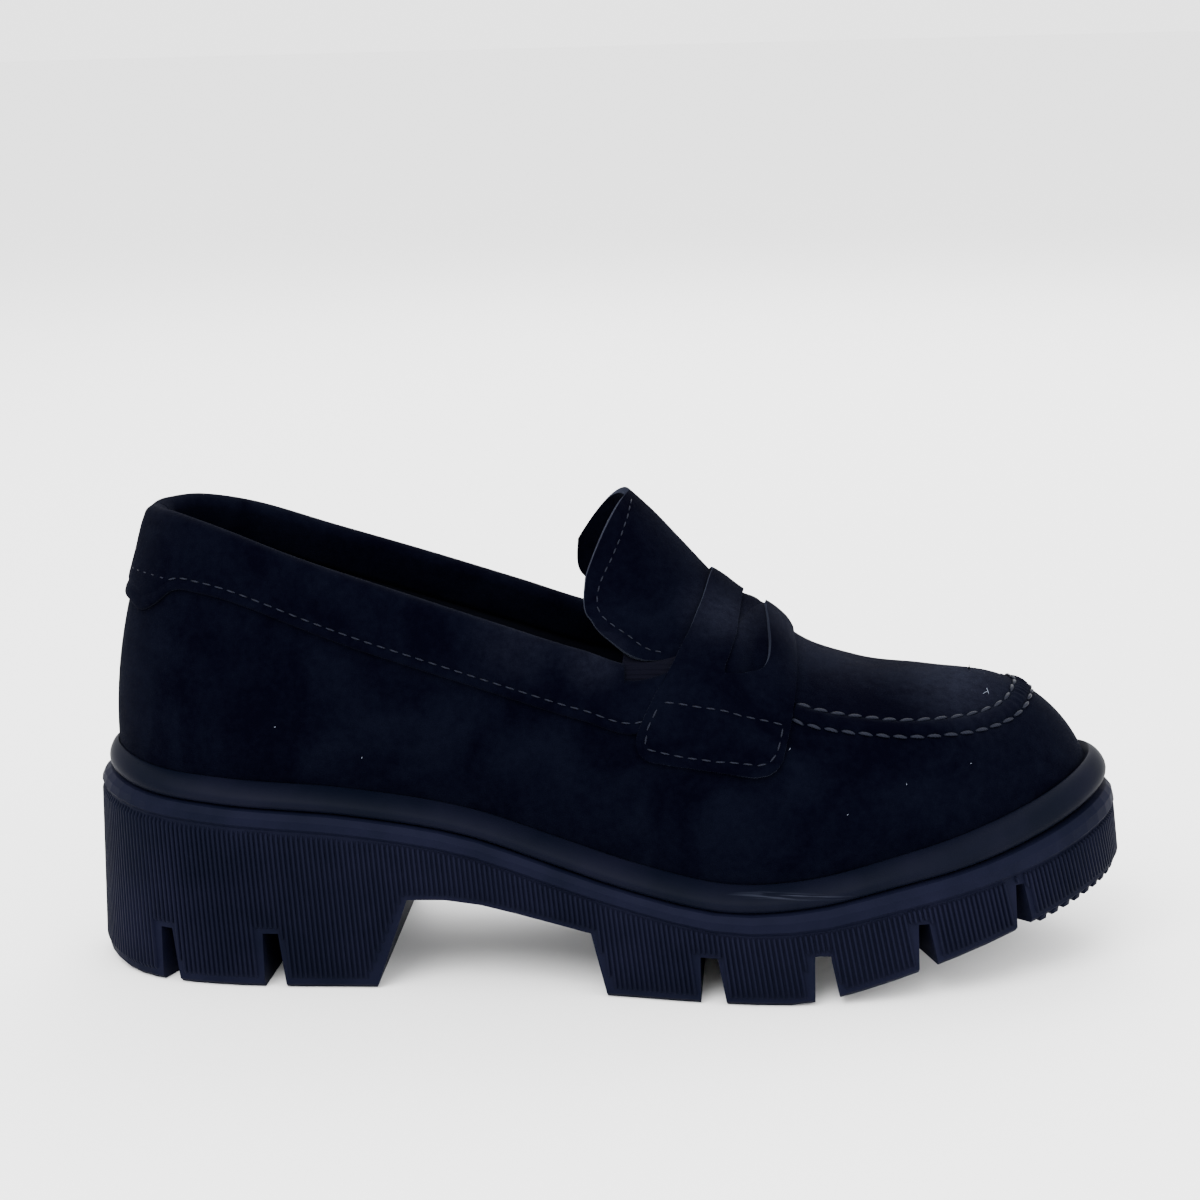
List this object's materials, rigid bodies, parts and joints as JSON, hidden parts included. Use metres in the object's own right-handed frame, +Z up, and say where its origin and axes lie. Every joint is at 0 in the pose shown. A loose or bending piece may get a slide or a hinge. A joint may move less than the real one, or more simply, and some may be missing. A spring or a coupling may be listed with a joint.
{
  "type": "chunky lug sole loafer",
  "caption": "Right slip-on penny loafer: hollow suede upper with flared tongue and slotted strap on a chunky heeled lug sole with a ribbed side.",
  "frame": {"origin": "on the ground, under the middle of the box around the shoe", "axes": "+X from the heel to the toe, +Y to the medial side, +Z up"},
  "size_m": [0.28, 0.1037, 0.1273],
  "materials": {
    "sole_rubber": "matte navy, fine upright ribs on the side",
    "rand_rubber": "smooth matte navy",
    "suede": "near-black navy suede with a soft nap",
    "lining_leather": "smooth dark lining",
    "elastic": "ribbed black elastic"
  },
  "bodies": {
    "root": {"outsole": "sole_rubber", "midsole": "rand_rubber", "insole": "lining_leather", "upper": "suede", "tongue": "suede", "strap": "suede", "collar_band": "suede", "toe_seam": "suede", "gore_lateral": "elastic", "gore_medial": "elastic"}
  },
  "joints": []
}
